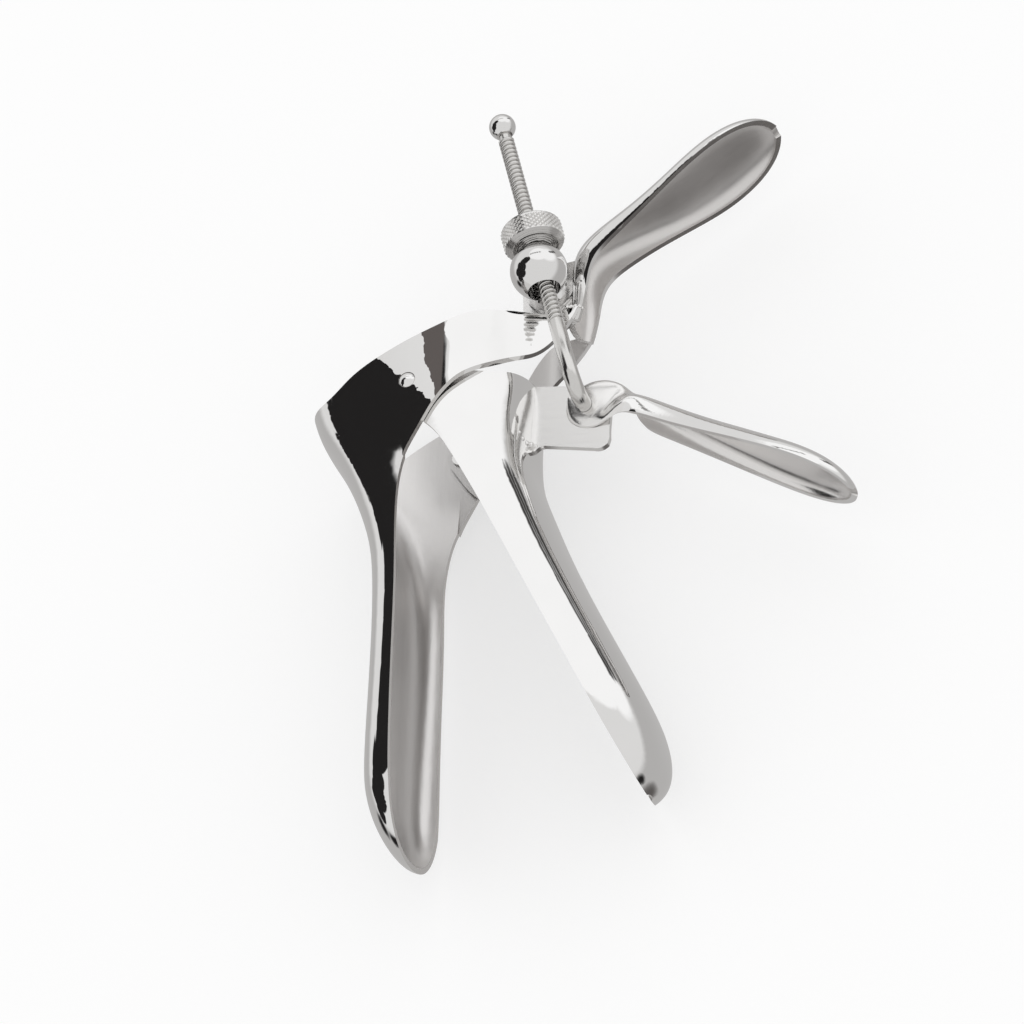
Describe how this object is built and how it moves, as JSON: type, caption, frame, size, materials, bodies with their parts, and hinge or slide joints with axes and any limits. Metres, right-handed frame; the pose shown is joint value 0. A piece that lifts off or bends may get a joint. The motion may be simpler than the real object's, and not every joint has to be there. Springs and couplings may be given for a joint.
{
  "type": "bivalve speculum",
  "caption": "Two hinged steel blades with dished handles, a ring mouth and a side clamp screw whose knurled nut holds the blades open.",
  "frame": {"origin": "middle of the blade hinge's axis, in the middle of the mouth", "axes": "+Z along the hinge axis towards the clamp screw's side, the blades point to -Y and the handles to +X; the part lies on its side and is stored with its blades open"},
  "size_m": [0.1241, 0.1837, 0.0418],
  "materials": {
    "polished_steel": "mirror-polished stainless steel, satin in the hollows",
    "screw_steel": "polished stainless steel, turned",
    "rivet_steel": "satin stainless steel"
  },
  "bodies": {
    "inner_valve": {"posterior_valve": "polished_steel", "lug_plate": "polished_steel", "posterior_handle": "polished_steel", "hinge_rivet_near": "rivet_steel", "hinge_rivet_far": "rivet_steel"},
    "outer_valve": {"anterior_valve": "polished_steel", "anterior_handle": "polished_steel", "swivel_bracket": "polished_steel"},
    "rod": {"clamp_rod": "screw_steel", "rod_end_ball": "screw_steel", "rod_retainer": "rivet_steel"},
    "swivel": {"swivel_ball": "screw_steel", "swivel_washer": "rivet_steel", "swivel_stem_head": "rivet_steel"},
    "seat": {"nut_seat": "screw_steel"},
    "nut": {"knurled_nut": "screw_steel"}
  },
  "joints": [
    {"name": "blade_hinge", "type": "hinge", "parent": "inner_valve", "child": "outer_valve", "pos_m": [0, 0, 0], "axis": [0, 0, 1], "range_deg": [-3, 26.5]},
    {"name": "rod_pivot", "type": "hinge", "parent": "inner_valve", "child": "rod", "pos_m": [0.0366, -0.0027, 0], "axis": [0, 0, 1], "range_deg": [-3, 17]},
    {"name": "ball_swivel", "type": "hinge", "parent": "outer_valve", "child": "swivel", "pos_m": [0.0271, 0.0294, 0], "axis": [0, 0, 1], "range_deg": [-12, 3]},
    {"name": "nut_travel", "type": "slide", "parent": "rod", "child": "seat", "axis": [-0.2656, 0.9641, 0], "range_m": [-0.0025, 0.0165]},
    {"name": "nut_spin", "type": "hinge", "parent": "seat", "child": "nut", "pos_m": [0.0264, 0.03432, 0.011], "axis": [-0.2656, 0.9641, 0], "range_deg": [-700, 4900]}
  ],
  "couplings": [
    {"joint": "rod_pivot", "follows": "blade_hinge", "ratio": 0.5849},
    {"joint": "ball_swivel", "follows": "blade_hinge", "ratio": -0.4151},
    {"joint": "nut_travel", "follows": "blade_hinge", "m_per_rad": 0.03433},
    {"joint": "nut_spin", "follows": "blade_hinge", "ratio": 179.75}
  ]
}
